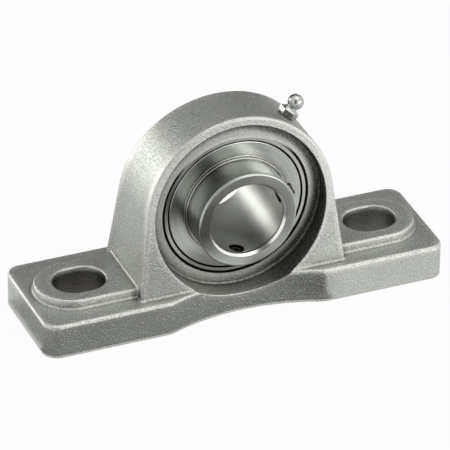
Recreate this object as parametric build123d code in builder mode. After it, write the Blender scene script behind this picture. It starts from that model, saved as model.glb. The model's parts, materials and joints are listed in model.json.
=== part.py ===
from build123d import *

import os
from math import cos, hypot, radians, sin, sqrt, tan

# A pillow block bearing for a 30 mm shaft: a cast housing on a slotted foot, holding a ball bearing insert
# whose spherical outside lets the shaft line settle by itself.
# The origin is on the shaft axis in the middle of the housing. +X runs along the foot, +Y along the shaft
# and away from the set screws, and +Z up. The side with the long collar, at -Y, is called the front.

os.makedirs("parts", exist_ok=True)

# Foot
base_length = 165.0
base_width = 48.0
shaft_height = 42.9
foot_height = 14.0
foot_corner_radius = 6.0
foot_edge_radius = 1.4
waist_length = 63.4
waist_depth = 6.3
waist_blend_radius = 6.0

# Raised pads round the bolt slots
pad_height = 3.5
pad_wall = 6.4
pad_ledge = 3.916
pad_draft = 8.0
pad_edge_radius = 0.9
slot_width = 17.0
slot_length = 21.0
slot_edge_radius = 0.8

# Pillar and dome
dome_wall = 3.5
pillar_thickness = 38.0
pillar_sink = 2.0
side_draft = 7.0
face_draft = 6.9
dome_edge_radius = 1.0
root_radius = 1.0

# Recess on each side, spherical seat and the notches that the insert is loaded through
recess_gap = 4.0
recess_corner_radius = 0.8
recess_edge_radius = 0.5
recess_step = 0.2
seat_clearance = 0.05
seat_groove_width = 3.0
seat_groove_depth = 0.9
loading_clearance = 0.3

# Bearing rings
bore_diameter = 30.0
collar_diameter = 40.2
collar_reach = 22.2
tail_reach = 15.9
ring_gap = 5.8
outer_ring_wall = 3.2375
outer_ring_width = 19.0
bore_chamfer = 1.0
collar_edge_radius = 0.7
outer_ring_edge_radius = 0.6
port_diameter = 1.5

# Balls, races and cage
ball_count = 9
ball_diameter = 9.525
first_ball_angle = 90.0
race_conformity = 0.52
race_clearance = 0.02
cage_sheet = 0.8
cage_gap = 1.1
pocket_clearance = 0.12
rivet_diameter = 1.5
rivet_head_diameter = 2.6
rivet_head_height = 0.6
rivet_clearance = 0.02

# Seals and flingers
seal_wall = 1.81
seal_depth = 3.0
seal_width = 1.5
seal_bead_height = 0.4
seal_sheet = 0.6
seal_skin = 0.4
seal_rim = 0.4
seal_clearance = 0.05
lip_height = 1.2
lip_clearance = 0.06
flinger_sheet = 0.8
flinger_inset = 0.1
flinger_gap = 0.5
flinger_hub_reach = 1.4
flinger_bend_radius = 0.3
flinger_rim_radius = 0.25
press_clearance = 0.01

# Set screws
screw_angles = (20.0, 260.0)
screw_inset = 5.0
screw_diameter = 6.0
screw_stand = 1.4
screw_tip_gap = 0.5
screw_socket = 3.0
screw_socket_depth = 3.0
screw_cup_diameter = 3.0
screw_cup_depth = 0.7
screw_chamfer = 0.5
screw_clearance = 0.05

# Grease nipple, with its check ball and spring, and the passage below it
nipple_angle = 37.5
nipple_offset = 2.5
nipple_stand = 0.6
nipple_hex = 7.0
nipple_hex_height = 2.4
nipple_hex_chamfer = 0.4
nipple_cone_diameter = 6.0
nipple_neck_diameter = 4.2
nipple_head_diameter = 6.2
nipple_head_height = 5.9
nipple_tip_diameter = 2.6
nipple_thread_diameter = 6.0
nipple_thread_length = 6.0
nipple_bore_diameter = 2.0
nipple_mouth_diameter = 1.4
nipple_lip = 0.6
nipple_inlet_diameter = 1.1
check_ball_diameter = 1.8
check_ball_clearance = 0.03
thread_clearance = 0.05
passage_diameter = 2.4
spring_wire = 0.25
spring_turns = 6
spring_length = 4.2
spring_clearance = 0.08

# Sizes that follow from those above
bore_radius = bore_diameter / 2
collar_radius = collar_diameter / 2
pitch_radius = collar_radius + ring_gap / 2
shoulder_radius = collar_radius + ring_gap
ball_radius = ball_diameter / 2
race_radius = race_conformity * ball_diameter
race_shift = race_radius - ball_radius - race_clearance
sphere_radius = pitch_radius + ball_radius + outer_ring_wall
half_width = outer_ring_width / 2
seal_bore_radius = sqrt(sphere_radius**2 - half_width**2) - seal_wall
seal_seat = half_width - seal_depth
seat_radius = sphere_radius + seat_clearance
recess_radius = sphere_radius + recess_gap
recess_floor = half_width + recess_step
dome_radius = recess_radius + dome_wall
foot_top = foot_height - shaft_height
pad_top = foot_top + pad_height
pad_width = slot_width + 2 * pad_wall
pad_length = base_length - 2 * pad_ledge
tolerance = 1e-3


def band(inner, outer, near, far, mode=Mode.ADD):
    """A rectangle of a turned section, between two radii and two places along the shaft."""
    with Locations(((inner + outer) / 2, (near + far) / 2)):
        Rectangle(outer - inner, abs(far - near), mode=mode)


def radial_plane(angle, along):
    """A plane across a radius of the shaft, at an angle from +X and a place along the shaft."""
    direction = (cos(radians(angle)), 0, sin(radians(angle)))
    return Plane((0, along, 0), x_dir=(0, 1, 0), z_dir=direction)


# Pillar and dome: one drafted block, which joins the housing below

dome_side = (dome_radius * cos(radians(side_draft)), dome_radius * sin(radians(side_draft)))
pillar_bottom = foot_top - pillar_sink
pillar_reach = dome_side[0] + (dome_side[1] - pillar_bottom) * tan(radians(side_draft))

with BuildPart() as pillar:
    with BuildSketch(Plane.XZ):
        with BuildLine():
            Line((-pillar_reach, pillar_bottom), (pillar_reach, pillar_bottom))
            Line((pillar_reach, pillar_bottom), dome_side)
            CenterArc((0, 0), dome_radius, side_draft, 180 - 2 * side_draft)
            Line((-dome_side[0], dome_side[1]), (-pillar_reach, pillar_bottom))
        make_face()
    extrude(amount=pillar_thickness, both=True)
    for side in (-1, 1):
        outward = (0, side * cos(radians(face_draft)), sin(radians(face_draft)))
        face_plane = Plane((0, side * pillar_thickness / 2, foot_top), z_dir=outward)
        split(bisect_by=face_plane, keep=Keep.BOTTOM)
    drafted = (faces().sort_by(Axis.Y)[0], faces().sort_by(Axis.Y)[-1])
    fillet([edge for face in drafted for edge in face.edges().sort_by(Axis.Z)[1:]], dome_edge_radius)

# Housing

waist_radius = ((waist_length / 2) ** 2 + waist_depth**2) / (2 * waist_depth)
waist_centre = base_width / 2 - waist_depth + waist_radius
pad_inner_end = dome_side[0] + (dome_side[1] - pad_top) * tan(radians(side_draft)) + root_radius
pad_outer_end = pad_length / 2 - pad_height * tan(radians(pad_draft))
slot_place = (pad_inner_end + pad_outer_end) / 2
loading_radius = seat_radius + loading_clearance
groove_sides = (-nipple_offset - seat_groove_width / 2, -nipple_offset + seat_groove_width / 2)
nipple_seat = radial_plane(90 - nipple_angle, -nipple_offset).offset(dome_radius + nipple_stand)


def at_root(edge):
    """Whether an edge runs along the inner corner where the pillar or a pad rises from what carries it."""
    place = edge.center()
    on_foot = abs(place.Z - foot_top) < tolerance
    in_pad = abs(place.Y) < pad_width / 2 + tolerance and abs(place.X) < pad_length / 2 + tolerance
    pillar_root = foot_top - tolerance < place.Z < pad_top + tolerance and abs(place.X) < pillar_reach
    return (on_foot and in_pad) or (pillar_root and edge.geom_type != GeomType.CIRCLE)


def at_mouth(edge):
    """Whether an edge runs along the outer rim of a recess."""
    on_wall = all(abs(hypot((edge @ t).X, (edge @ t).Z) - recess_radius) < tolerance for t in (0, 0.5, 1))
    above_corner = abs(edge.center().Y) > recess_floor + recess_corner_radius + tolerance
    return on_wall and above_corner and edge.geom_type != GeomType.LINE


with BuildPart() as housing:
    with BuildSketch(Plane.XY.offset(-shaft_height)):
        Rectangle(base_length, base_width)
        with Locations((0, waist_centre), (0, -waist_centre)):
            Circle(waist_radius, mode=Mode.SUBTRACT)
        fillet(vertices().group_by(lambda v: abs(v.X))[-1], foot_corner_radius)
        fillet(vertices().group_by(lambda v: abs(v.X))[0], waist_blend_radius)
    extrude(amount=foot_height)
    fillet(faces().sort_by(Axis.Z)[-1].edges(), foot_edge_radius)

    with BuildSketch(Plane.XY.offset(foot_top)):
        SlotOverall(pad_length, pad_width)
    extrude(amount=pad_height, taper=pad_draft)
    fillet(faces().sort_by(Axis.Z)[-1].edges(), pad_edge_radius)
    add(pillar.part)
    fillet(edges().filter_by(at_root), root_radius)

    with BuildSketch(Plane.XY.offset(pad_top)):
        with Locations((-slot_place, 0), (slot_place, 0)):
            SlotOverall(slot_length, slot_width)
    extrude(amount=-shaft_height, mode=Mode.SUBTRACT)
    pads = faces().filter_by(Plane.XY).filter_by_position(Axis.Z, pad_top - tolerance, pad_top + tolerance)
    slot_rims = [edge for pad in pads for wire in pad.inner_wires() for edge in wire.edges()]
    fillet(slot_rims, slot_edge_radius)

    with BuildSketch(Plane.XY):
        for side in (-1, 1):
            band(0, recess_radius, side * recess_floor, side * pillar_thickness)
        floors = vertices().filter_by_position(Axis.Y, -recess_floor - tolerance, recess_floor + tolerance)
        fillet(floors.group_by(Axis.X)[-1], recess_corner_radius)
    revolve(axis=Axis.Y, mode=Mode.SUBTRACT)
    fillet(edges().filter_by(at_mouth), recess_edge_radius)

    Sphere(seat_radius, mode=Mode.SUBTRACT)
    with BuildSketch(Plane.XY):
        band(bore_radius, seat_radius + seat_groove_depth, *groove_sides)
    revolve(axis=Axis.Y, mode=Mode.SUBTRACT)
    with BuildSketch(Plane.XZ):
        Circle(loading_radius)
        Rectangle(2 * loading_radius, outer_ring_width + 2 * loading_clearance, mode=Mode.INTERSECT)
    extrude(amount=-recess_floor, mode=Mode.SUBTRACT)

    with BuildSketch(nipple_seat):
        Circle(nipple_thread_diameter / 2 + thread_clearance)
    extrude(amount=-nipple_thread_length - thread_clearance, mode=Mode.SUBTRACT)
    with BuildSketch(nipple_seat):
        Circle(passage_diameter / 2)
    extrude(amount=seat_radius - dome_radius - nipple_stand, mode=Mode.SUBTRACT)

housing.part.label = "housing"
export_step(housing.part, "parts/housing.step")

# Outer ring, with its race, seal seats and grease ports

with BuildPart() as outer_ring:
    with BuildSketch(Plane.XY):
        Circle(sphere_radius)
        band(shoulder_radius, sphere_radius, -half_width, half_width, mode=Mode.INTERSECT)
        for side in (-1, 1):
            seal_end = side * (seal_seat + seal_width)
            band(shoulder_radius, seal_bore_radius, side * seal_seat, side * half_width, mode=Mode.SUBTRACT)
            band(0, seal_bore_radius + seal_bead_height, side * seal_seat, seal_end, mode=Mode.SUBTRACT)
        with Locations((pitch_radius - race_shift, 0)):
            Circle(race_radius, mode=Mode.SUBTRACT)
        fillet(vertices().group_by(Axis.Y)[0].sort_by(Axis.X)[-1], outer_ring_edge_radius)
        fillet(vertices().group_by(Axis.Y)[-1].sort_by(Axis.X)[-1], outer_ring_edge_radius)
    revolve(axis=Axis.Y)
    with BuildSketch(radial_plane(90 - nipple_angle, -nipple_offset)):
        Circle(port_diameter / 2)
    extrude(amount=sphere_radius, both=True, mode=Mode.SUBTRACT)

outer_ring.part.label = "outer_ring"
export_step(outer_ring.part, "parts/outer_ring.step")

# Inner ring, with its race and two tapped holes in the long collar

screw_place = screw_inset - collar_reach

with BuildPart() as inner_ring:
    with BuildSketch(Plane.XY):
        band(bore_radius, collar_radius, -collar_reach, tail_reach)
        with Locations((pitch_radius + race_shift, 0)):
            Circle(race_radius, mode=Mode.SUBTRACT)
        ends = vertices().group_by(Axis.Y)
        chamfer([ends[0].sort_by(Axis.X)[0], ends[-1].sort_by(Axis.X)[0]], bore_chamfer)
        ends = vertices().group_by(Axis.Y)
        fillet([ends[0].sort_by(Axis.X)[-1], ends[-1].sort_by(Axis.X)[-1]], collar_edge_radius)
    revolve(axis=Axis.Y)
    for angle in screw_angles:
        with BuildSketch(radial_plane(angle, screw_place)):
            Circle(screw_diameter / 2 + screw_clearance)
        extrude(amount=collar_diameter, mode=Mode.SUBTRACT)

inner_ring.part.label = "inner_ring"
export_step(inner_ring.part, "parts/inner_ring.step")

# Balls

ball_angles = [first_ball_angle + 360 / ball_count * n for n in range(ball_count)]

for number, angle in enumerate(ball_angles, start=1):
    with BuildPart(radial_plane(angle, 0).offset(pitch_radius)) as ball:
        Sphere(ball_radius)
    ball.part.label = f"ball_{number}"
    export_step(ball.part, f"parts/ball_{number}.step")

# Cage: two pressed halves with a pocket round each ball, riveted through the flats between the pockets

pocket_radius = ball_radius + pocket_clearance
cage_inner = collar_radius + cage_gap
cage_outer = shoulder_radius - cage_gap
rivet_start = first_ball_angle + 180 / ball_count


def cage_half(side):
    """The half of the cage that lies towards the given side of the ball circle."""
    with BuildPart(Plane.XZ) as half:
        with BuildSketch(Plane.XZ):
            Circle(cage_outer)
            Circle(cage_inner, mode=Mode.SUBTRACT)
        extrude(amount=-side * cage_sheet)
        with PolarLocations(pitch_radius, ball_count, start_angle=first_ball_angle):
            Sphere(pocket_radius + cage_sheet)
        with BuildSketch(Plane.XZ):
            Circle(cage_outer)
            Circle(cage_inner, mode=Mode.SUBTRACT)
        extrude(amount=-side * ball_diameter, mode=Mode.INTERSECT)
        with PolarLocations(pitch_radius, ball_count, start_angle=first_ball_angle):
            Sphere(pocket_radius, mode=Mode.SUBTRACT)
        with BuildSketch(Plane.XZ):
            with PolarLocations(pitch_radius, ball_count, start_angle=rivet_start):
                Circle(rivet_diameter / 2 + rivet_clearance)
        extrude(amount=-side * ball_diameter, mode=Mode.SUBTRACT)
    return half


cage_front = cage_half(-1)
cage_front.part.label = "cage_front"
export_step(cage_front.part, "parts/cage_front.step")

cage_back = cage_half(1)
cage_back.part.label = "cage_back"
export_step(cage_back.part, "parts/cage_back.step")

with BuildPart() as cage_rivets:
    with BuildSketch(Plane.XZ):
        with PolarLocations(pitch_radius, ball_count, start_angle=rivet_start):
            Circle(rivet_diameter / 2)
    extrude(amount=cage_sheet + rivet_head_height, both=True)
    for side in (-1, 1):
        with BuildSketch(Plane.XZ.offset(side * cage_sheet)):
            with PolarLocations(pitch_radius, ball_count, start_angle=rivet_start):
                Circle(rivet_head_diameter / 2)
        extrude(amount=side * rivet_head_height)

cage_rivets.part.label = "cage_rivets"
export_step(cage_rivets.part, "parts/cage_rivets.step")

# Seals, each a steel washer in a moulded rubber ring, and flingers pressed on the inner ring outside them

core_inner = collar_radius + lip_height
core_outer = seal_bore_radius - seal_rim
core_near = seal_seat + seal_width - seal_clearance - seal_skin - seal_sheet
core_far = core_near + seal_sheet

for side, name in ((-1, "front"), (1, "back")):
    with BuildPart() as seal_core:
        with BuildSketch(Plane.XY):
            band(core_inner, core_outer, side * core_near, side * core_far)
        revolve(axis=Axis.Y)
    seal_core.part.label = f"seal_core_{name}"
    export_step(seal_core.part, f"parts/seal_core_{name}.step")

    with BuildPart() as seal_lip:
        with BuildSketch(Plane.XY):
            bead = seal_bore_radius + seal_bead_height - seal_clearance
            skin_far = side * (core_far + seal_skin)
            band(collar_radius + lip_clearance, bead, side * core_near, skin_far)
            band(core_outer, bead, side * (seal_seat + seal_clearance), skin_far)
            band(core_inner, core_outer, side * core_near, side * core_far, mode=Mode.SUBTRACT)
        revolve(axis=Axis.Y)
    seal_lip.part.label = f"seal_lip_{name}"
    export_step(seal_lip.part, f"parts/seal_lip_{name}.step")

    with BuildPart() as flinger:
        with BuildSketch(Plane.XY):
            hub = collar_radius + press_clearance
            flinger_far = half_width - flinger_inset
            flinger_near = flinger_far - flinger_sheet
            band(hub, seal_bore_radius - flinger_gap, side * flinger_near, side * flinger_far)
            band(hub, hub + flinger_sheet, side * flinger_near, side * (flinger_far + flinger_hub_reach))
            fillet(vertices().group_by(Axis.X)[-1], flinger_rim_radius)
            hub_outside = hub + flinger_sheet
            bends = vertices().filter_by_position(Axis.X, hub_outside - tolerance, hub_outside + tolerance)
            fillet(bends, flinger_bend_radius)
        revolve(axis=Axis.Y)
    flinger.part.label = f"flinger_{name}"
    export_step(flinger.part, f"parts/flinger_{name}.step")

# Set screws with a hexagon socket outside and a cup point inside

screw_tip = bore_radius + screw_tip_gap
screw_length = collar_radius + screw_stand - screw_tip

for number, angle in enumerate(screw_angles, start=1):
    tip = radial_plane(angle, screw_place).offset(screw_tip)
    with BuildPart() as set_screw:
        with BuildSketch(tip):
            Circle(screw_diameter / 2)
        extrude(amount=screw_length)
        chamfer(edges().filter_by(GeomType.CIRCLE), screw_chamfer)
        with BuildSketch(tip.offset(screw_length)):
            RegularPolygon(screw_socket / 2, 6, major_radius=False)
        extrude(amount=-screw_socket_depth, mode=Mode.SUBTRACT)
        with BuildSketch(tip):
            Circle(screw_cup_diameter / 2)
        extrude(amount=screw_cup_depth, taper=45, mode=Mode.SUBTRACT)
    set_screw.part.label = f"set_screw_{number}"
    export_step(set_screw.part, f"parts/set_screw_{number}.step")

# Grease nipple

nipple_axis = Axis(nipple_seat.origin, nipple_seat.z_dir)
nipple_section = Plane(
    nipple_seat.origin, x_dir=nipple_seat.x_dir, z_dir=nipple_seat.x_dir.cross(nipple_seat.z_dir)
)
nipple_cone_top = nipple_hex_height + (nipple_cone_diameter - nipple_neck_diameter) / 2
nipple_tip = nipple_head_height + sqrt((nipple_head_diameter / 2) ** 2 - (nipple_tip_diameter / 2) ** 2)
mouth_floor = nipple_tip - nipple_lip
rim_drop = sqrt((check_ball_diameter / 2) ** 2 - (nipple_mouth_diameter / 2) ** 2)
check_ball_height = mouth_floor - rim_drop - check_ball_clearance
spring_top = check_ball_height - check_ball_diameter / 2 - check_ball_clearance
spring_seat = spring_top - spring_length

with BuildPart() as nipple_body:
    with BuildSketch(nipple_seat):
        RegularPolygon(nipple_hex / 2, 6, major_radius=False)
    extrude(amount=nipple_hex_height)
    chamfer(faces().sort_by(nipple_axis)[-1].edges(), nipple_hex_chamfer)
    with BuildSketch(nipple_section):
        with Locations((0, nipple_head_height)):
            Circle(nipple_head_diameter / 2)
        band(0, nipple_head_diameter / 2, 0, nipple_tip, mode=Mode.INTERSECT)
        with BuildLine():
            Polyline(
                (0, nipple_hex_height - nipple_hex_chamfer),
                (nipple_cone_diameter / 2, nipple_hex_height - nipple_hex_chamfer),
                (nipple_cone_diameter / 2, nipple_hex_height),
                (nipple_neck_diameter / 2, nipple_cone_top),
                (nipple_neck_diameter / 2, nipple_head_height),
                (0, nipple_head_height),
                close=True,
            )
        make_face()
        band(0, nipple_thread_diameter / 2, -nipple_thread_length, tolerance)
    revolve(axis=nipple_axis)
    with BuildSketch(nipple_section):
        band(0, nipple_inlet_diameter / 2, -nipple_thread_length, spring_seat)
        band(0, nipple_bore_diameter / 2, spring_seat, mouth_floor)
        band(0, nipple_mouth_diameter / 2, mouth_floor, nipple_tip)
    revolve(axis=nipple_axis, mode=Mode.SUBTRACT)

nipple_body.part.label = "nipple_body"
export_step(nipple_body.part, "parts/nipple_body.step")

with BuildPart(nipple_seat.offset(check_ball_height)) as nipple_ball:
    Sphere(check_ball_diameter / 2)

nipple_ball.part.label = "nipple_ball"
export_step(nipple_ball.part, "parts/nipple_ball.step")

coil_radius = nipple_bore_diameter / 2 - spring_clearance - spring_wire / 2
coil_height = spring_length - spring_wire - 2 * spring_clearance
coil_start = nipple_seat.offset(spring_seat + spring_clearance + spring_wire / 2)

with BuildPart() as nipple_spring:
    with BuildLine() as coil:
        pitch = coil_height / spring_turns
        Helix(pitch, coil_height, coil_radius, center=coil_start.origin, direction=coil_start.z_dir)
    with BuildSketch(Plane(coil.line @ 0, z_dir=coil.line % 0)):
        Circle(spring_wire / 2)
    sweep(path=coil.line, is_frenet=True)

nipple_spring.part.label = "nipple_spring"
export_step(nipple_spring.part, "parts/nipple_spring.step")
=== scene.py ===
# %% [markdown]
# # A pillow block bearing, dressed for a studio picture
#
# The CAD model comes in as a fixed frame: every piece of steel and rubber is already in its place, in
# metres, with the origin on the shaft axis, +X along the foot, +Y away from the set screws and +Z up.
# Blender adds what the CAD leaves out: the finish of each metal, the threads of the set screws, a coil
# spring in place of the rigid one, and the studio round it all.

import json
from math import cos, radians, sin, sqrt, tau

import bmesh
import bpy
from mathutils import Matrix, Vector


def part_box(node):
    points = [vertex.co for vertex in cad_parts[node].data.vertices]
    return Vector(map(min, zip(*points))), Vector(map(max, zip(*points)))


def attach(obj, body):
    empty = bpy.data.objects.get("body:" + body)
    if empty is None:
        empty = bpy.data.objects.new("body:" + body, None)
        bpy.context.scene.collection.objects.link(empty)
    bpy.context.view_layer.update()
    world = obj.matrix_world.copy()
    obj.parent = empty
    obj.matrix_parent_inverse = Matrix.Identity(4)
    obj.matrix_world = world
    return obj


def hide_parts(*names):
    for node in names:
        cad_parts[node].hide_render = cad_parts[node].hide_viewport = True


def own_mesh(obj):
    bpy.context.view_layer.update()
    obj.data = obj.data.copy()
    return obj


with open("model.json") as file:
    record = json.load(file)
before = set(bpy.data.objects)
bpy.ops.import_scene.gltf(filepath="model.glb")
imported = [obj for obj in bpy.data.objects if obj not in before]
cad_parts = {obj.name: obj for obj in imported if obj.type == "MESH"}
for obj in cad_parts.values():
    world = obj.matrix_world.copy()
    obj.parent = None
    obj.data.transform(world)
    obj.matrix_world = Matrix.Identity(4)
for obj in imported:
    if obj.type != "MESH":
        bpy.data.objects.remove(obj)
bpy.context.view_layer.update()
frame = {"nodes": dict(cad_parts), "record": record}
nodes = frame["nodes"]
mm = 0.001

print("pieces in the frame:", len(nodes))

# %% [markdown]
# ## The camera
#
# A catalogue picture is taken from far away with a long lens, so that parallel edges stay nearly
# parallel. The camera could be given by three coordinates and three angles, but those say little to a
# reader. So it is given by the point it looks at, its distance, how far it stands round to the left and
# how far it looks down. A long lens makes a very small picture angle, so the place has to be exact to a
# millimetre.

# %% Camera
aim = Vector((-2.66, -5.78, -10.85)) * mm
camera_distance = 2142 * mm
camera_turn = radians(-22.664)
camera_rise = radians(31.724)
camera_roll = radians(0.592)
camera_lens = 447.03
camera_sensor = 36
camera_reach = 20

towards_camera = Vector(
    (sin(camera_turn) * cos(camera_rise), -cos(camera_turn) * cos(camera_rise), sin(camera_rise))
)
camera_data = bpy.data.cameras.new("camera")
camera_data.lens = camera_lens
camera_data.sensor_width = camera_sensor
camera_data.clip_end = camera_reach
camera = bpy.data.objects.new("camera", camera_data)
bpy.context.scene.collection.objects.link(camera)
facing = towards_camera.to_track_quat("Z", "Y").to_matrix().to_4x4()
standing = Matrix.Translation(aim + towards_camera * camera_distance)
camera.matrix_world = standing @ facing @ Matrix.Rotation(camera_roll, 4, "Z")
bpy.context.scene.camera = camera
bpy.context.scene.view_settings.view_transform = "Standard"
print("camera stands at", [round(value, 3) for value in camera.matrix_world.translation])

# %% [markdown]
# ## Shader maths as plain expressions
#
# A material is a network of nodes. Put together one by one, a formula such as 1 - 0.4 * mask takes two
# nodes and their links, and is hard to read afterwards. Here a small class stands for one output of a
# node, and Python's own signs on it add the Math nodes. Every other node comes from one method, which
# takes the node's type, its settings, and the values or links of its inputs.

# %% One output of a node


class Value:
    """One output of a shader node. A formula on it adds the Math nodes that it needs."""

    def __init__(self, finish, socket):
        self.finish = finish
        self.socket = socket

    def maths(self, operation, *inputs):
        return self.finish.node("ShaderNodeMath", {"operation": operation}, dict(enumerate(inputs)))

    def __add__(self, other):
        return self.maths("ADD", self, other)

    def __radd__(self, other):
        return self.maths("ADD", other, self)

    def __sub__(self, other):
        return self.maths("SUBTRACT", self, other)

    def __rsub__(self, other):
        return self.maths("SUBTRACT", other, self)

    def __mul__(self, other):
        return self.maths("MULTIPLY", self, other)

    def __rmul__(self, other):
        return self.maths("MULTIPLY", other, self)

    def __abs__(self):
        return self.maths("ABSOLUTE", self)

    def most(self, other):
        return self.maths("MAXIMUM", self, other)

    def step(self, low, high):
        """0 where this value is below low, 1 above high, and a smooth step between them."""
        inputs = {"Value": self, "From Min": low, "From Max": high}
        return self.finish.node("ShaderNodeMapRange", {"interpolation_type": "SMOOTHSTEP"}, inputs)


print("signs that work on a value: +, - and *")

# %% A material under construction


class Finish:
    """A material, or the world, under construction."""

    def __init__(self, block):
        self.block = block
        block.use_nodes = True
        self.tree = block.node_tree

    def node(self, kind, settings=None, inputs=None, output=0):
        """Adds one node: its settings first, then the values or links of its inputs."""
        node = self.tree.nodes.new(kind)
        for name, setting in (settings or {}).items():
            setattr(node, name, setting)
        for key, value in (inputs or {}).items():
            self.feed(node.inputs[key], value)
        return Value(self, node.outputs[output])

    def feed(self, socket, value):
        """Sets an input to a value, or links it to another node's output."""
        if isinstance(value, Value):
            self.tree.links.new(value.socket, socket)
        else:
            socket.default_value = value

    def mix(self, share, low, high):
        """A colour between two others."""
        settings = {"data_type": "RGBA"}
        return self.node("ShaderNodeMix", settings, {"Factor": share, 6: low, 7: high}, output=2)


print("a finish starts from a material or a world")

# %% [markdown]
# ## Floor and world
#
# The object stands on a plain pale floor in front of nothing at all. Strong lamps would make both white,
# but they would bleach the steel too. So the floor and the world are white only to the camera, and to the
# metal that mirrors them, through Light Path, while the light that falls on the object comes from the
# lamps and from a softer grey world. The floor still shows a part of the light that falls on it, and so
# it keeps the shadow under the foot.

# %% Which rays see the white


def seen_directly(finish):
    """1 for the rays of the camera, of mirrors and of glass, 0 for the rays that only carry light."""
    kinds = ("Is Camera Ray", "Is Glossy Ray", "Is Transmission Ray")
    viewer, mirror, glass = [finish.node("ShaderNodeLightPath", output=kind) for kind in kinds]
    return viewer.most(mirror).most(glass)


print("the camera, mirrors and glass see the white")

# %% Floor
floor_size = 6.0
floor_grey = 0.9
floor_glow = 0.96
floor_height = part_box("housing")[0].z

floor_mesh = bpy.data.meshes.new("floor")
floor_shape = bmesh.new()
bmesh.ops.create_grid(floor_shape, x_segments=1, y_segments=1, size=floor_size / 2)
bmesh.ops.translate(floor_shape, verts=floor_shape.verts, vec=(0, 0, floor_height))
floor_shape.to_mesh(floor_mesh)
floor_shape.free()
floor = bpy.data.objects.new("floor", floor_mesh)
bpy.context.scene.collection.objects.link(floor)

paper = Finish(bpy.data.materials.new("white_paper"))
lit = paper.node("ShaderNodeBsdfDiffuse", {}, {"Color": (floor_grey, floor_grey, floor_grey, 1)})
glow = paper.node("ShaderNodeEmission", {}, {"Color": (1, 1, 1, 1), "Strength": 1.0})
shown = paper.node("ShaderNodeMixShader", {}, {0: seen_directly(paper) * floor_glow, 1: lit, 2: glow})
paper.feed(paper.tree.nodes["Material Output"].inputs["Surface"], shown)
floor_mesh.materials.append(paper.block)
print("floor at", round(floor_height / mm, 1), "mm")

# %% World
world_light = 0.55

world = Finish(bpy.data.worlds.new("studio"))
bpy.context.scene.world = world.block
background = world.tree.nodes["Background"]
background.inputs["Color"].default_value = (1, 1, 1, 1)
world.feed(background.inputs["Strength"], seen_directly(world) * (1 - world_light) + world_light)
print("the world lights the object at", world_light)

# %% [markdown]
# ## Lamps
#
# Bright lamps of any shape would light the steel, but bare metal also mirrors them, so their shape shows.
# Three large soft area lamps are used: a low one behind on the left, which gives the dome its glow, a
# wide low one in front on the right for the faces towards the viewer, and one overhead. The camera
# doesn't see them.

# %% A thing that stands round the object and faces it


def stand(thing, direction, distance):
    """Puts a lamp or card at a distance from the shaft's middle, facing it."""
    spot = Vector(direction).normalized() * distance
    thing.matrix_world = Matrix.Translation(spot) @ spot.to_track_quat("Z", "Y").to_matrix().to_4x4()


print("lamps and cards face the shaft's middle")

# %% Three soft lamps
lamp_warmth = (1.0, 0.985, 0.955)


def soft_lamp(name, direction, distance, size, power):
    data = bpy.data.lights.new(name, "AREA")
    data.shape = "RECTANGLE"
    data.size, data.size_y = size
    data.energy = power
    data.color = lamp_warmth
    lamp = bpy.data.objects.new(name, data)
    lamp.visible_camera = False
    bpy.context.scene.collection.objects.link(lamp)
    stand(lamp, direction, distance)
    print(name, "of", power, "W at", [round(value, 2) for value in lamp.matrix_world.translation])


soft_lamp("left_lamp", (-0.6, 0.79, 0.1), 1.1, (0.5, 0.5), 2.8)
soft_lamp("front_lamp", (0.62, -0.79, 0.12), 1.3, (1.2, 0.7), 5)
soft_lamp("top_lamp", (0.25, -0.2, 1.0), 1.3, (1.2, 1.2), 4)

# %% [markdown]
# ## Cards
#
# Steel only looks like steel when it has something dark to mirror beside something bright. In a white
# room it would be white all over. So grey cards hang round the object and lie on the floor before it,
# where only the metal sees them. The two large ones also hold back a little light, and the small ones are
# seen by mirrors alone.

# %% One card
card_roughness = 0.9


def grey_card(name, size, grey):
    """A matt card that only the object sees: it lies flat at the origin until it is put in its place."""
    mesh = bpy.data.meshes.new(name)
    shape = bmesh.new()
    bmesh.ops.create_grid(shape, x_segments=1, y_segments=1, size=0.5)
    bmesh.ops.scale(shape, verts=shape.verts, vec=(size[0], size[1], 1))
    shape.to_mesh(mesh)
    shape.free()
    finish = Finish(bpy.data.materials.new(name))
    surface = finish.tree.nodes["Principled BSDF"]
    surface.inputs["Base Color"].default_value = (grey, grey, grey, 1)
    surface.inputs["Roughness"].default_value = card_roughness
    mesh.materials.append(finish.block)
    card = bpy.data.objects.new(name, mesh)
    card.visible_camera = False
    card.visible_shadow = False
    bpy.context.scene.collection.objects.link(card)
    return card


print("a card's roughness is", card_roughness)

# %% Two large cards that stand: behind the object for its tops, and round the camera for its fronts
standing_distance = 1.3

stand(grey_card("back_card", (2.8, 1.8), 0.22), (0.25, 1.0, 0.3), standing_distance)
stand(grey_card("camera_card", (0.6, 1.7), 0.03), (-0.33, -0.79, 0.5), standing_distance)
print("large cards stand", standing_distance, "m away")

# %% Small cards that lie on the floor, each before the face that mirrors it
floor_cards = (
    # Name, width and depth in mm, grey, and place in mm: across, along the shaft, and above the floor.
    ("table_card", (170, 30), 0.45, (-50, -31, 1)),
    ("end_card", (30, 35), 0.5, (-99, 2, 1)),
    ("left_card", (123, 20), 0.2, (-73.5, -56, 1)),
    ("waist_card", (20, 30), 0.1, (24, -42, 2)),
    ("collar_card", (60, 60), 0.22, (22, -100, 2)),
    ("dark_card", (95, 40), 0.01, (-30, -84, 3)),
    ("rear_card", (225, 1200), 0.24, (37.5, 630, 1)),
)

for name, (width, depth), grey, (across, along, above) in floor_cards:
    card = grey_card(name, (width * mm, depth * mm), grey)
    card.matrix_world = Matrix.Translation((across * mm, along * mm, floor_height + above * mm))
    card.visible_diffuse = False
print("cards on the floor:", len(floor_cards))

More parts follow.
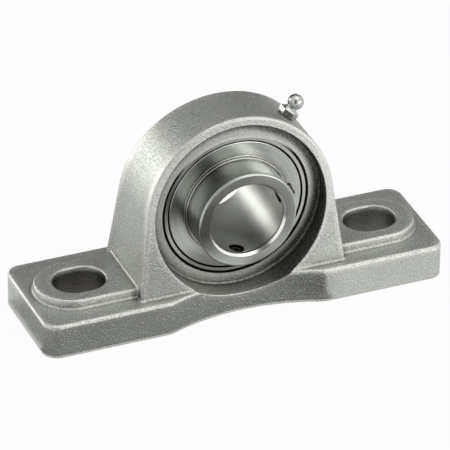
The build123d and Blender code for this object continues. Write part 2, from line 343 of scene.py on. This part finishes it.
# %% One upright card behind, which darkens the top of the left foot
foot_card = grey_card("foot_card", (110 * mm, 90 * mm), 0.06)
upright = Matrix.Rotation(radians(90), 4, "X")
foot_card.matrix_world = Matrix.Translation(Vector((-15, 150, 65)) * mm) @ upright
foot_card.visible_diffuse = False
print("upright card at", [round(value / mm) for value in foot_card.matrix_world.translation], "mm")

# %% [markdown]
# ## Patterns that the finishes share
#
# Every finish below is mixed from a few simple patterns: a noise that runs through the metal, how deep a
# place lies in a corner, how far out it lies on an edge, and where it is, measured from the shaft.
# Painted images could hold all this, but they would first have to be wrapped round each piece. Patterns
# on Object coordinates fit at once, and they stay on a piece that moves, because every piece has its
# origin on the shaft.

# %% Bare steel, and a noise in it


def steel(name):
    finish = Finish(bpy.data.materials.new(name))
    surface = finish.tree.nodes["Principled BSDF"]
    surface.inputs["Metallic"].default_value = 1.0
    return finish, surface


def noise(finish, grain_size, detail=2.0):
    """A noise whose lumps are grain_size apart, read from the piece's own coordinates."""
    point = finish.node("ShaderNodeTexCoord", output="Object")
    inputs = {"Vector": point, "Scale": 1 / grain_size, "Detail": detail}
    return finish.node("ShaderNodeTexNoise", {}, inputs)


print("steel is a metal all over, and the noise is read in its own solid")

# %% Corners and edges
probe_rays = 8


def hollow(finish, reach, alone=True):
    """1 deep in a corner or a hole, and 0 on an open face."""
    settings = {"only_local": alone, "samples": probe_rays}
    return 1 - finish.node("ShaderNodeAmbientOcclusion", settings, {"Distance": reach}, output=1)


def ridge(finish, reach):
    """1 out on a sharp edge, and 0 on a flat face or in a corner."""
    settings = {"only_local": True, "inside": True, "samples": probe_rays}
    return 1 - finish.node("ShaderNodeAmbientOcclusion", settings, {"Distance": reach}, output=1)


print("corners and edges are found with", probe_rays, "rays")

# %% Places


def place(finish, axis):
    """Where a point lies on one axis: X across the shaft, Y along it, and Z up."""
    point = finish.node("ShaderNodeTexCoord", output="Object")
    return finish.node("ShaderNodeSeparateXYZ", {}, {0: point}, output=axis)


def from_shaft(finish):
    """How far a point lies from the shaft's axis."""
    point = finish.node("ShaderNodeTexCoord", output="Object")
    flat = finish.node("ShaderNodeVectorMath", {"operation": "MULTIPLY"}, {0: point, 1: (1, 0, 1)})
    return finish.node("ShaderNodeVectorMath", {"operation": "LENGTH"}, {0: flat}, output=1)


def between(value, low, high, blur):
    """1 where a value lies between two others, and 0 outside them."""
    return value.step(low - blur, low) * (1 - value.step(high, high + blur))


print("places are measured from the shaft, in metres")

# %% [markdown]
# ## Painted shade in the seams
#
# A thin black line runs round the outer ring, where it sits in the housing, and another round the flinger
# inside it. On the real bearing both are narrow gaps in deep shade. A gap that is modelled catches stray
# light and looks grey from afar, so the metal beside it is coloured black as painted shade. Light falls
# into the top of the outer seam, so there the painted shade is nearly all left out.

# %% Painted shade in the seams
# Black for the painted shade in the seams.
gap_black = (0.008, 0.008, 0.007, 1)
lit_seam_top = (17 * mm, 25 * mm)
lit_seam_share = 0.85


def seam_shade_share(finish):
    """How much painted shade the outer seam gets: little at the top, where light falls in, all of it below.
    """
    return 1 - lit_seam_share * place(finish, "Z").step(*lit_seam_top)


print("the seam is bare from", round(lit_seam_top[0] / mm), "mm above the shaft")

# %% [markdown]
# ## Cast steel
#
# The housing is cast in stainless steel and blasted with fine grit. Close up, its skin is a field of
# little pits and grains half a millimetre across, and the metal is a greenish grey that varies a little
# from place to place. Modelled grains would take millions of faces. Noises of four sizes do as well: they
# tint the metal, change its roughness and lift the grain with a bump.
#
# A part that has been handled is also worn bright on its edges, with a painted highlight added there, and
# it gets painted shade in its corners.
# The recess's wall gets painted shade too, heavier on its +X side, where less light falls.

# %% Colours and grains of the cast steel
cast_dark = (0.37, 0.385, 0.355, 1)
cast_pale = (0.59, 0.615, 0.57, 1)
# A near-white for edges: bare worn metal, and painted highlights.
wear_and_highlight_colour = (0.95, 0.94, 0.90, 1)
# A dark brown for painted shade in corners, slots and the recess.
dark_shade_colour = (0.045, 0.037, 0.028, 1)
cloud_size = 14 * mm
patch_size = 3.2 * mm
grain_size = 0.6 * mm
pit_size = 0.9 * mm
cast_roughness = 0.36
grain_height = 0.14 * mm
grain_strength = 0.8
print("grain in mm:", [round(size / mm, 1) for size in (cloud_size, patch_size, grain_size, pit_size)])

# %% The bolt slots
slot_middle = 60.5 * mm
slot_half_length = 10.5 * mm
slot_half_width = 8.5 * mm
slot_skin = (0.1 * mm, 0.1 * mm, 0.1 * mm)
slot_top = (-28 * mm, -26.2 * mm)


def in_slot(finish, end_margin, side_margin, blur):
    """1 inside a bolt slot's outline made a little wider, and 0 outside it."""
    near = slot_middle - slot_half_length - end_margin
    far = slot_middle + slot_half_length + end_margin
    side = slot_half_width + side_margin
    lengthwise = between(abs(place(finish, "X")), near, far, blur)
    return lengthwise * (1 - abs(place(finish, "Y")).step(side, side + blur))


def slot_wall(finish):
    """The slot's inside, below the pad's top."""
    inside = in_slot(finish, *slot_skin)
    return inside * (1 - place(finish, "Z").step(*slot_top))


print("slots", round(2 * slot_half_length / mm), "by", round(2 * slot_half_width / mm), "mm")

# %% The recess round the bearing
recess_cove = (31.8 * mm, 34.6 * mm)
recess_lip = (35.1 * mm, 35.4 * mm)
recess_depth = (10.5 * mm, 17 * mm)
shaded_side_reach = 18 * mm
shaded_side_cove = 1.3 * mm


def shaded_side(finish):
    """1 on the +X side, where the recess gets more painted shade, and 0 on the -X side."""
    return place(finish, "X").step(0, shaded_side_reach)


def recess_wall(finish, grain):
    """Painted shade on the recess's wall and the rounded corner at its foot, lighter towards the mouth,
    with bare specks.
    """
    radius = from_shaft(finish)
    far_side_shade = shaded_side(finish)
    # On the +X side the painted shade reaches further in from the recess's wall.
    wall = (radius + shaded_side_cove * far_side_shade).step(*recess_cove) * (1 - radius.step(*recess_lip))
    towards_mouth = abs(place(finish, "Y")).step(*recess_depth)
    specks = grain.step(0.48, 0.64)
    return wall * (1 - 0.4 * towards_mouth * (1 - far_side_shade)) * (1 - 0.25 * specks)


print("recess wall from", round(recess_cove[0] / mm, 1), "to", round(recess_lip[0] / mm, 1), "mm")

# %% Wear and painted highlights on the edges
sharp_edge = 1.3 * mm
broad_edge = 4 * mm
broad_height = (15 * mm, 30 * mm)
wear_and_highlight_height = (-41 * mm, -36 * mm)
slot_rim = (1.0 * mm, 0.9 * mm, 0.3 * mm)


def edge_wear_and_highlight(finish, grain):
    """Wear and painted highlight on edges: crisp on sharp ones, faint on broad ones, none by the floor,
    little round slots.
    """
    level = place(finish, "Z")
    broad_share = 0.55 - 0.33 * level.step(*broad_height)
    broad = (ridge(finish, broad_edge) + 0.2 * (grain - 0.5)).step(0.12, 0.36) * broad_share
    sharp = (ridge(finish, sharp_edge) + 0.5 * (grain - 0.5)).step(0.14, 0.4)
    rim = in_slot(finish, *slot_rim)
    return sharp.most(broad) * level.step(*wear_and_highlight_height) * (1 - 0.8 * rim)


print("wear reaches", round(sharp_edge / mm, 1), "mm from an edge")

# %% Painted shade in the corners
crevice_reach = 3 * mm
corner_reach = 11 * mm
paler_bottom = (-30 * mm, -12 * mm)


def painted_shade(finish, patch, grain):
    """Painted shade: in crevices, faintly in wide corners, down the slots, and on the recess's wall."""
    far_side_shade = shaded_side(finish)
    crevice = (hollow(finish, crevice_reach) + 0.3 * (patch - 0.5)).step(0.12, 0.45) * 0.8
    corner = hollow(finish, corner_reach).step(0.2, 0.8) * 0.55
    # The recess's painted shade is lighter low down, and strongest on the +X side.
    wall_share = (0.6 + 0.38 * place(finish, "Z").step(*paler_bottom)).most(0.9 * far_side_shade)
    slot_share = 0.96 - 0.14 * far_side_shade
    wall = wall_share * recess_wall(finish, grain)
    return crevice.most(corner).most(wall).most(slot_share * slot_wall(finish))


print("dirt reaches", round(corner_reach / mm), "mm out of a corner")

# %% The housing's finish
wear_and_highlight_share = 0.65
painted_shade_share = 0.9
housing_seam = (30.05 * mm, 30.3 * mm)


def cast_steel():
    finish, surface = steel("cast_steel")
    cloud = noise(finish, cloud_size, 4)
    patch = noise(finish, patch_size, 3)
    grain = noise(finish, grain_size, 3)
    pits = noise(finish, pit_size, 1).step(0.56, 0.7)
    shade = (cloud * 0.12 + patch * 0.08 + grain * 0.8).step(0.32, 0.68)
    skin = finish.mix(shade, cast_dark, cast_pale)
    # Edges are made paler: partly wear, partly a painted highlight.
    skin = finish.mix(edge_wear_and_highlight(finish, grain) * wear_and_highlight_share, skin, wear_and_highlight_colour)
    # Painted shade darkens corners, slots and the recess's wall.
    skin = finish.mix(painted_shade(finish, patch, grain) * painted_shade_share, skin, dark_shade_colour)
    # The seam round the outer ring is painted black as shade, except near its top.
    seam = (1 - from_shaft(finish).step(*housing_seam)) * seam_shade_share(finish)
    finish.feed(surface.inputs["Base Color"], finish.mix(seam, skin, gap_black))
    finish.feed(surface.inputs["Roughness"], cast_roughness + 0.05 * cloud + 0.12 * grain)
    height = grain - 0.6 * pits + 0.15 * patch
    lift = {"Height": height, "Strength": grain_strength, "Distance": grain_height}
    finish.feed(surface.inputs["Normal"], finish.node("ShaderNodeBump", {}, lift))
    return finish.block


finishes = {"housing_steel": cast_steel()}
print("cast steel has", len(finishes["housing_steel"].node_tree.nodes), "nodes")

# %% [markdown]
# ## Turned steel
#
# Rings, flingers, cage and screws are turned or ground smooth. What is left of the tool are fine rings
# round the shaft, a hundredth of a millimetre deep, which stretch every highlight across them. An
# anisotropic shader would give that look from afar, but it needs tangents that these solids don't have. A
# noise of radius and depth alone is the same all the way round, so it makes real rings, both in the tint
# and as a bump.

# %% Marks that only the bearing's rings have
ring_seam = (28.95 * mm, 29.2 * mm)
flinger_gap = 27.7 * mm
flinger_gap_width = 0.15 * mm
bore_radius = 15 * mm
bore_chamfer = (bore_radius + 0.1 * mm, bore_radius + 0.9 * mm)
bore_mark = (20.4 * mm, 20.6 * mm)
mark_blur = 0.05 * mm


def in_bore(finish):
    """1 on the wall of the bore, and 0 elsewhere."""
    return 1 - from_shaft(finish).step(bore_radius, bore_radius + mark_blur)


def bore_marks(finish, skin):
    """The bore's end: a dark line just inside it, and a painted highlight on the chamfer round it."""
    line = 0.8 * in_bore(finish) * abs(place(finish, "Y")).step(*bore_mark)
    chamfer = between(from_shaft(finish), *bore_chamfer, mark_blur)
    # The chamfer is painted near-white as a highlight.
    return finish.mix(0.85 * chamfer, finish.mix(line, skin, dark_shade_colour), wear_and_highlight_colour)


def ring_seams(finish, skin):
    """Painted shade in the seam outside the outer ring, and beside the flinger in it."""
    radius = from_shaft(finish)
    outer = radius.step(*ring_seam) * seam_shade_share(finish)
    inner = between(radius, flinger_gap, flinger_gap + flinger_gap_width, mark_blur)
    return finish.mix(outer.most(inner), skin, gap_black)


print("bore of", round(2 * bore_radius / mm), "mm, outer seam at", round(ring_seam[1] / mm, 1), "mm")

# %% Turned steel
ring_pitch = 0.25 * mm
ring_height = 0.01 * mm
stain_size = 9 * mm
corner_shade_reach = 6 * mm
crest_reach = 0.5 * mm


def turned_steel(name, dark, pale, roughness, groove, crest_highlight=0.0, is_ring=False):
    """Steel turned about the shaft: fine uneven rings, painted highlights on crests, painted shade in
    corners.
    """
    finish, surface = steel(name)
    track = finish.node("ShaderNodeCombineXYZ", {}, {"X": from_shaft(finish), "Y": place(finish, "Y")})
    rings = finish.node("ShaderNodeTexNoise", {}, {"Vector": track, "Scale": 1 / ring_pitch, "Detail": 2.0})
    cloud = noise(finish, stain_size, 3)
    skin = finish.mix((0.6 * rings + 0.4 * cloud).step(0.3, 0.7), dark, pale)
    rough = roughness + 0.08 * (cloud - 0.5)
    if crest_highlight:
        # Sharp crests are painted near-white as a highlight.
        skin = finish.mix(ridge(finish, crest_reach).step(0.1, 0.5) * crest_highlight, skin, wear_and_highlight_colour)
    if is_ring:
        skin = bore_marks(finish, skin)
        rough = rough + 0.2 * in_bore(finish)
    # Corners next to this and the other pieces get painted shade.
    corner = hollow(finish, corner_shade_reach, alone=False).step(0.22, 0.6)
    skin = finish.mix(0.9 * corner, skin, dark_shade_colour)
    if is_ring:
        skin = ring_seams(finish, skin)
    finish.feed(surface.inputs["Base Color"], skin)
    finish.feed(surface.inputs["Roughness"], rough)
    lift = {"Height": rings, "Strength": groove, "Distance": ring_height}
    finish.feed(surface.inputs["Normal"], finish.node("ShaderNodeBump", {}, lift))
    return finish.block


print("turning marks are", round(ring_pitch / mm, 2), "mm apart")

# %% Turned steels, each from a darker colour to a paler one
turned = {
    # Darker and paler colour, roughness, depth of the marks, painted highlight on the crests, and whether
    # it is a ring.
    "ring_steel": ((0.40, 0.42, 0.39, 1), (0.57, 0.59, 0.55, 1), 0.23, 0.4, 0.6, True),
    "flinger_steel": ((0.42, 0.44, 0.41, 1), (0.57, 0.59, 0.55, 1), 0.22, 0.4, 0.8),
    "cage_steel": ((0.45, 0.45, 0.43, 1), (0.6, 0.6, 0.58, 1), 0.3, 0.2),
    "seal_core_steel": ((0.4, 0.4, 0.39, 1), (0.55, 0.55, 0.54, 1), 0.3, 0.2),
    "ball_steel": ((0.7, 0.7, 0.69, 1), (0.78, 0.78, 0.77, 1), 0.06, 0.05),
    "screw_steel": ((0.03, 0.03, 0.03, 1), (0.07, 0.07, 0.068, 1), 0.3, 0.2, 0.7),
    "nipple_steel": ((0.42, 0.44, 0.42, 1), (0.56, 0.57, 0.55, 1), 0.24, 0.1),
    "spring_steel": ((0.4, 0.4, 0.39, 1), (0.5, 0.5, 0.49, 1), 0.3, 0.1),
}
for name, looks in turned.items():
    finishes[name] = turned_steel(name, *looks)
print("turned steels:", ", ".join(turned))

# %% [markdown]
# ## Rubber
#
# The seals behind the flingers are black rubber. It could be one flat black, but rubber that has been
# touched is dull in some places and smoother in others. So a soft noise changes both its colour and its
# roughness, and its shine is turned down on the shader's own socket.

# %% Rubber
rubber_dark = (0.006, 0.006, 0.006, 1)
rubber_pale = (0.014, 0.014, 0.013, 1)
rubber_grain = 1.5 * mm
rubber_roughness = 0.6
rubber_shine = 0.15


def rubber():
    finish = Finish(bpy.data.materials.new("black_rubber"))
    surface = finish.tree.nodes["Principled BSDF"]
    cloud = noise(finish, rubber_grain, 3)
    finish.feed(surface.inputs["Base Color"], finish.mix(cloud, rubber_dark, rubber_pale))
    finish.feed(surface.inputs["Roughness"], rubber_roughness + 0.2 * cloud)
    surface.inputs["Specular IOR Level"].default_value = rubber_shine
    return finish.block


finishes["seal_rubber"] = rubber()
print("finishes:", len(finishes))

# %% [markdown]
# ## Dressing the pieces
#
# Each piece of the CAD model carries the name of a slot, such as ring_steel, which says what it is made
# of. A long list of pieces and materials would have to be kept up by hand. The slots already say it all,
# so one loop gives every piece the finish that bears its slot's name.

# %% Every piece gets its finish
for part in frame["record"]["subparts"]:
    node = nodes[part["node"]]
    node.data.materials.clear()
    node.data.materials.append(finishes[part["material_slot"]])

# %% [markdown]
# ## Set screws
#
# Two headless screws hold the shaft in the collar. Each is a black steel pin with a metric thread, a
# hexagon socket at the outer end and a hollow cup that bites into the shaft. The thread could be painted
# on as a bump, but its teeth show in outline where a screw stands out of the collar. So it is a real
# ridge: one tooth is spun about the screw's axis and climbs a little at each step. The core is spun from
# half an outline, and its round rim is bridged to a hexagon for the socket.

# %% Sizes of a set screw
screw_angles = {"set_screw_1": 20, "set_screw_2": 260}
screw_radius = 3 * mm
screw_pitch = 1.0 * mm
screw_root = screw_radius - 0.61 * screw_pitch
screw_length = 6 * mm
screw_chamfer = 0.5 * mm
screw_lip = 0.2 * mm
socket_width = 3 * mm
socket_depth = 3 * mm
socket_rim = 1.8 * mm
cup_radius = 1.5 * mm
cup_depth = 0.7 * mm
core_sides = 36
thread_sides = 24
thread_bite = 0.1 * mm
weld_distance = 0.001 * mm
print("screw in mm:", round(2 * screw_radius / mm, 2), "by", round(screw_length / mm, 2))

# %% The socket


def screw_socket(shape, rim):
    """A hexagon bridged to the round rim, pulled down into walls, and closed at the bottom."""
    mouth = Matrix.Translation((0, 0, screw_length - screw_lip))
    corner_radius = socket_width / sqrt(3)
    circle = bmesh.ops.create_circle(shape, cap_ends=False, radius=corner_radius, segments=6, matrix=mouth)
    hexagon = circle["verts"]
    sides = [edge for edge in shape.edges if edge.verts[0] in hexagon and edge.verts[1] in hexagon]
    bmesh.ops.bridge_loops(shape, edges=rim + sides)
    walls = bmesh.ops.extrude_edge_only(shape, edges=sides)["geom"]
    foot = [item for item in walls if isinstance(item, bmesh.types.BMVert)]
    bmesh.ops.translate(shape, verts=foot, vec=(0, 0, screw_lip - socket_depth))
    bottom = [item for item in walls if isinstance(item, bmesh.types.BMEdge) and item.is_boundary]
    bmesh.ops.edgeloop_fill(shape, edges=bottom)


print("socket", socket_width / mm, "mm wide and", socket_depth / mm, "mm deep")

# %% The core: a pin with a cup below and a socket above


def screw_core(shape):
    """The pin without its thread, standing on its tip."""
    outline = [
        (0, cup_depth),
        (cup_radius, 0),
        (screw_root - screw_chamfer, 0),
        (screw_root, screw_chamfer),
        (screw_root, screw_length - screw_chamfer),
        (screw_root - screw_lip, screw_length),
        (socket_rim, screw_length),
    ]
    points = [shape.verts.new((radius, 0, height)) for radius, height in outline]
    lines = [shape.edges.new(pair) for pair in zip(points, points[1:])]
    bmesh.ops.spin(
        shape, geom=points + lines, cent=(0, 0, 0), axis=(0, 0, 1),
        angle=tau, steps=core_sides, use_merge=True,
    )
    bmesh.ops.remove_doubles(shape, verts=shape.verts, dist=weld_distance)
    rim = [edge for edge in shape.edges if edge.is_boundary]
    screw_socket(shape, rim)


print("core in mm:", round(2 * screw_root / mm, 2), "across, of", core_sides, "sides")

# %% The thread: one tooth, wound up the pin
thread_turns = (screw_length - 2 * screw_chamfer - screw_pitch) / screw_pitch


def screw_thread(shape):
    """A tooth with a narrow flat crest, whose foot bites a little into the core."""
    foot = screw_root - thread_bite
    start = screw_chamfer
    outline = [
        (foot, start),
        (screw_radius, start + 0.45 * screw_pitch),
        (screw_radius, start + 0.55 * screw_pitch),
        (foot, start + screw_pitch),
    ]
    tooth = shape.faces.new([shape.verts.new((radius, 0, height)) for radius, height in outline])
    bmesh.ops.spin(
        shape, geom=[tooth], cent=(0, 0, 0), axis=(0, 0, 1), dvec=(0, 0, screw_pitch / thread_sides),
        angle=thread_turns * tau, steps=round(thread_turns * thread_sides),
    )


print("thread of", thread_turns, "turns")

# %% Both set screws


def set_screw(name):
    """A screw turned to point away from the shaft, in the middle of its plain solid's box."""
    shape = bmesh.new()
    screw_core(shape)
    screw_thread(shape)
    bmesh.ops.recalc_face_normals(shape, faces=shape.faces)
    angle = radians(screw_angles[name])
    outwards = Vector((cos(angle), 0, sin(angle)))
    middle = Vector([(low + high) / 2 for low, high in zip(*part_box(name))])
    turn = outwards.to_track_quat("Z", "Y").to_matrix().to_4x4()
    tip = Matrix.Translation(middle - outwards * screw_length / 2)
    bmesh.ops.transform(shape, matrix=tip @ turn, verts=shape.verts)
    mesh = bpy.data.meshes.new(f"{name}_threaded")
    shape.to_mesh(mesh)
    shape.free()
    mesh.materials.append(finishes["screw_steel"])
    screw = bpy.data.objects.new(f"{name}_threaded", mesh)
    bpy.context.scene.collection.objects.link(screw)
    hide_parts(name)
    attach(screw, name)
    print(screw.name, "has", len(mesh.polygons), "faces")


for name in screw_angles:
    set_screw(name)

# %% [markdown]
# ## The spring in the grease nipple
#
# Inside the nipple a small coil spring presses the check ball against the mouth. When grease pushes the
# ball in, the spring gets shorter, which a rigid piece can't do. So the coil is made again here: a disc
# of wire is spun about the nipple's axis while it climbs.

# %% Sizes of the spring
nipple_angle = radians(37.5)
nipple_axis = Vector((sin(nipple_angle), 0, cos(nipple_angle)))
nipple_offset = -2.5 * mm
seat_distance = 41.4886 * mm
spring_seat = nipple_axis * seat_distance + Vector((0, nipple_offset, 0))
wire_radius = 0.125 * mm
wire_sides = 8
coil_radius = 0.795 * mm
coil_height = 3.79 * mm
coil_turns = 6
coil_gap = 0.08 * mm
coil_steps = 24 * coil_turns
print("spring's seat in mm:", [round(value / mm, 2) for value in spring_seat])

# %% Coil spring


def coil_spring():
    """A coil of wire from the seat upwards along the nipple's axis."""
    shape = bmesh.new()
    section = Matrix.Translation((coil_radius, 0, 0)) @ upright
    bmesh.ops.create_circle(shape, cap_ends=True, radius=wire_radius, segments=wire_sides, matrix=section)
    bmesh.ops.spin(
        shape, geom=shape.faces[:], cent=(0, 0, 0), axis=(0, 0, 1), dvec=(0, 0, coil_height / coil_steps),
        angle=coil_turns * tau, steps=coil_steps,
    )
    bmesh.ops.recalc_face_normals(shape, faces=shape.faces)
    start = Matrix.Translation(spring_seat + nipple_axis * (coil_gap + wire_radius))
    turn = nipple_axis.to_track_quat("Z", "Y").to_matrix().to_4x4()
    bmesh.ops.transform(shape, matrix=start @ turn, verts=shape.verts)
    mesh = bpy.data.meshes.new("nipple_coil")
    shape.to_mesh(mesh)
    shape.free()
    mesh.materials.append(finishes["spring_steel"])
    coil = bpy.data.objects.new("nipple_coil", mesh)
    bpy.context.scene.collection.objects.link(coil)
    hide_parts("nipple_spring")
    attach(coil, "housing")
    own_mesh(coil)
    print(coil.name, "has", len(mesh.polygons), "faces")


coil_spring()
